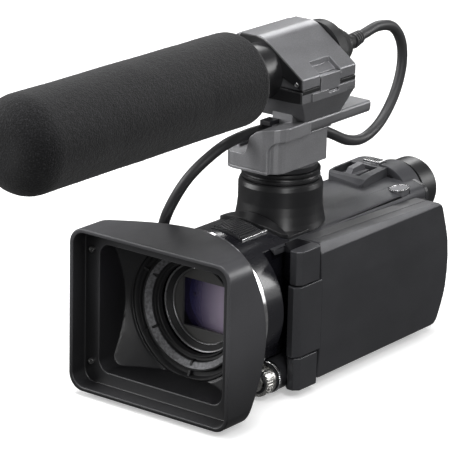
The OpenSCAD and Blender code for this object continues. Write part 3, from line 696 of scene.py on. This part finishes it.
def make_holder_details():
    """Black rubber faces of the holder, the seal between its halves and a screw."""
    lid = [
        (21.2, 124.4), (21.1, 128.9), (5.0, 140.6), (1.6, 142.6), (-2.2, 143.5), (-9.8, 143.4),
        (-10.9, 142.0), (-10.9, 137.3),
    ]
    face = (-22.0, -20.9)
    prism("lid_face_pad", lid + bore_arc(11.0, -27, 136, 40), "Y", *face, "lid", "rubber_black", 0.25)
    shell = [
        (21.2, 123.5), (21.2, 118.9), (15.6, 118.6), (-12.6, 118.6), (-13.9, 120.0), (-13.9, 138.0),
        (-11.3, 138.0), (-11.3, 123.6),
    ]
    prism("shell_face_pad", bore_arc(10.8, 212, 328, 30) + shell, "Y", *face, "camera", "rubber_black", 0.25)
    seal = [(14.0, 122.3), (21.38, 122.3), (21.38, 124.05), (14.0, 124.05)]
    prism("holder_seal", seal, "Y", -20.9, -9.2, "camera", "rubber_black", 0.1)
    prism("holder_seal_rear", seal, "Y", 5.2, 15.9, "camera", "rubber_black", 0.1)
    screw_head("pad_screw", (18.9, -22.0, 126.6), 1.0, "lid")


def screw_head(name, at, radius, body):
    """Domed screw head with a cross recess, facing forward."""
    n = 24
    dome = [(radius, 0.0), (radius, 0.25), (radius * 0.9, 0.42)]
    recess = [(radius * 0.55, 0.52), (radius * 0.5, 0.3)]
    w = Vector((0, -1, 0))
    u = w.orthogonal().normalized()
    v = w.cross(u)
    rows = dome + recess + [(0.02, 0.2)]
    verts = []
    for r, h in rows:
        for k in range(n):
            t = 2 * math.pi * k / n
            reach = r * (0.72 + 0.28 * abs(math.cos(2 * t))) if (r, h) in recess else r
            verts.append(tuple(Vector(at) + u * (reach * math.cos(t)) + v * (reach * math.sin(t)) + w * h))
    piece(name, np.array(verts) * MM, grid_faces(len(rows), n), body, "steel", (), 40)


def make_dial_details():
    """Fine knurled chrome ring on the collar behind the dial, and the groove in front of it."""
    columns, tooth = 54 * 4, 0.28
    rows = ((6.45, 0, -42.5), (6.78, tooth, -42.3), (6.78, tooth, -40.9), (6.45, 0, -40.7))
    verts = []
    for radius, depth, y in rows:
        for k in range(columns):
            t = 2 * math.pi * k / columns
            r = radius - (depth if k % 4 in (2, 3) else 0)
            verts.append((DIAL_AXIS[0] + r * math.cos(t), y, DIAL_AXIS[2] + r * math.sin(t)))
    faces = grid_faces(len(rows), columns)
    piece("dial_collar_ring", np.array(verts) * MM, faces, "camera", "bright_chrome", (), 30)
    groove = [(5.1, -44.5), (6.0, -44.4), (6.0, -42.6), (5.1, -42.5)]
    ring("dial_groove", groove, DIAL_AXIS, "camera", "inner_black", 64)


def frame_piece(name, outer, inner, lo, hi, body, slot):
    """A flat frame between two outlines in (x, y) with the same number of points."""
    n = len(outer)
    verts = np.array([(x, y, z) for z in (lo, hi) for x, y in outer + inner]) * MM
    faces = []
    for k in range(n):
        j = (k + 1) % n
        faces.append((k, j, n + j, n + k))
        faces.append((2 * n + k, 2 * n + j, 3 * n + j, 3 * n + k))
        faces.append((k, j, 2 * n + j, 2 * n + k))
        faces.append((n + k, n + j, 3 * n + j, 3 * n + k))
    piece(name, verts, faces, body, slot, (), 35)


def make_small_details():
    """Bright surround of the oval button, hook plate under the lid, ribs of the strain relief."""
    outer = box_outline(13.8, 52.6, 21.0, 63.4, 3.55, 8)
    inner = box_outline(14.3, 53.1, 20.5, 62.9, 3.05, 8)
    frame_piece("mode_surround", outer, inner, 64.3, 64.85, "camera", "bright_chrome")
    plate = [
        (-14.6, 118.4), (9.0, 118.4), (9.0, 119.9), (15.2, 119.9), (15.2, 122.1), (3.4, 122.1),
        (3.4, 120.3), (-3.6, 120.3), (-3.6, 121.9), (-14.6, 121.9),
    ]
    prism("hook_plate", plate, "X", 21.2, 21.95, "camera", "holder_grey", 0.12)
    for k in range(4):
        y, r = 43.6 + 1.5 * k, 3.35 - 0.14 * k
        rib = [(2.0, y), (r - 0.2, y), (r, y + 0.25), (r, y + 0.7), (r - 0.2, y + 0.95), (2.0, y + 0.95)]
        centre = (0, 0, MIC_AXIS[2] + 0.1 + 0.28 * k)
        ring(f"relief_rib_{k + 1}", rib, centre, "camera", "cable_black", 48)


make_small_details()
make_cable()
make_windscreen()
make_belt()
make_pad()
make_lens()
make_holder_details()
make_dial_details()

# Light and floor ----------------------------------------------------------------------


# name, place, target, width, height (m), watts
LIGHTS = (
    ("key", (0.9, -0.55, 1.2), (0, -0.02, 0.08), 0.6, 0.6, 9),
    ("overhead", (-0.15, -0.05, 1.4), (0, 0, 0.08), 0.8, 0.8, 18),
    ("right_rear", (1.0, 1.15, 0.5), (0, 0, 0.06), 0.9, 0.9, 3),
    ("back_top", (-0.5, 1.1, 0.8), (0, 0, 0.1), 0.45, 0.45, 3.2),
    ("panel_side", (0.42, 0.5, 0.3), (0.03, 0.05, 0.05), 0.22, 0.22, 1.1),
    ("left_front", (-1.05, -0.85, 0.5), (0, -0.03, 0.06), 0.9, 1.0, 15),
    ("right_front", (1.1, -0.9, 0.3), (0, 0, 0.05), 0.35, 0.8, 5),
)

for name, place, target, width, height, watts in LIGHTS:
    light = bpy.data.lights.new(name, "AREA")
    light.energy = watts
    light.shape, light.size, light.size_y = "RECTANGLE", width, height
    o = bpy.data.objects.new(name, light)
    scene.collection.objects.link(o)
    o.location = Vector(place)
    o.rotation_mode = "QUATERNION"
    o.rotation_quaternion = (Vector(target) - Vector(place)).to_track_quat("-Z", "Y")

paper = Shader("floor")
paper.principled.inputs["Roughness"].default_value = 0.9
paper.principled.inputs["Specular IOR Level"].default_value = 0.1
paper.principled.inputs["Emission Color"].default_value = (1, 1, 1, 1)
paper.principled.inputs["Emission Strength"].default_value = 0.35
paper_colour = paper.mix(paper.noise(3, 2), shade((0.86, 0.86, 0.86)), shade((0.9, 0.9, 0.9)))
paper.link(paper_colour, paper.principled.inputs["Base Color"])
floor_mesh = bpy.data.meshes.new("floor")
bm = bmesh.new()
bmesh.ops.create_grid(bm, x_segments=4, y_segments=4, size=12)
bm.to_mesh(floor_mesh)
bm.free()
floor_mesh.materials.append(paper.material)
floor = bpy.data.objects.new("floor", floor_mesh)
scene.collection.objects.link(floor)
floor.location = (0, 0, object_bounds()[0].z)
floor.visible_diffuse = False
floor.visible_glossy = False

world = bpy.data.worlds.new("world")
scene.world = world
world.use_nodes = True
sky = world.node_tree.nodes["Background"]
sky.inputs[0].default_value = (1, 1, 1, 1)
sky.inputs[1].default_value = 0.12
scene.view_settings.view_transform = "Standard"
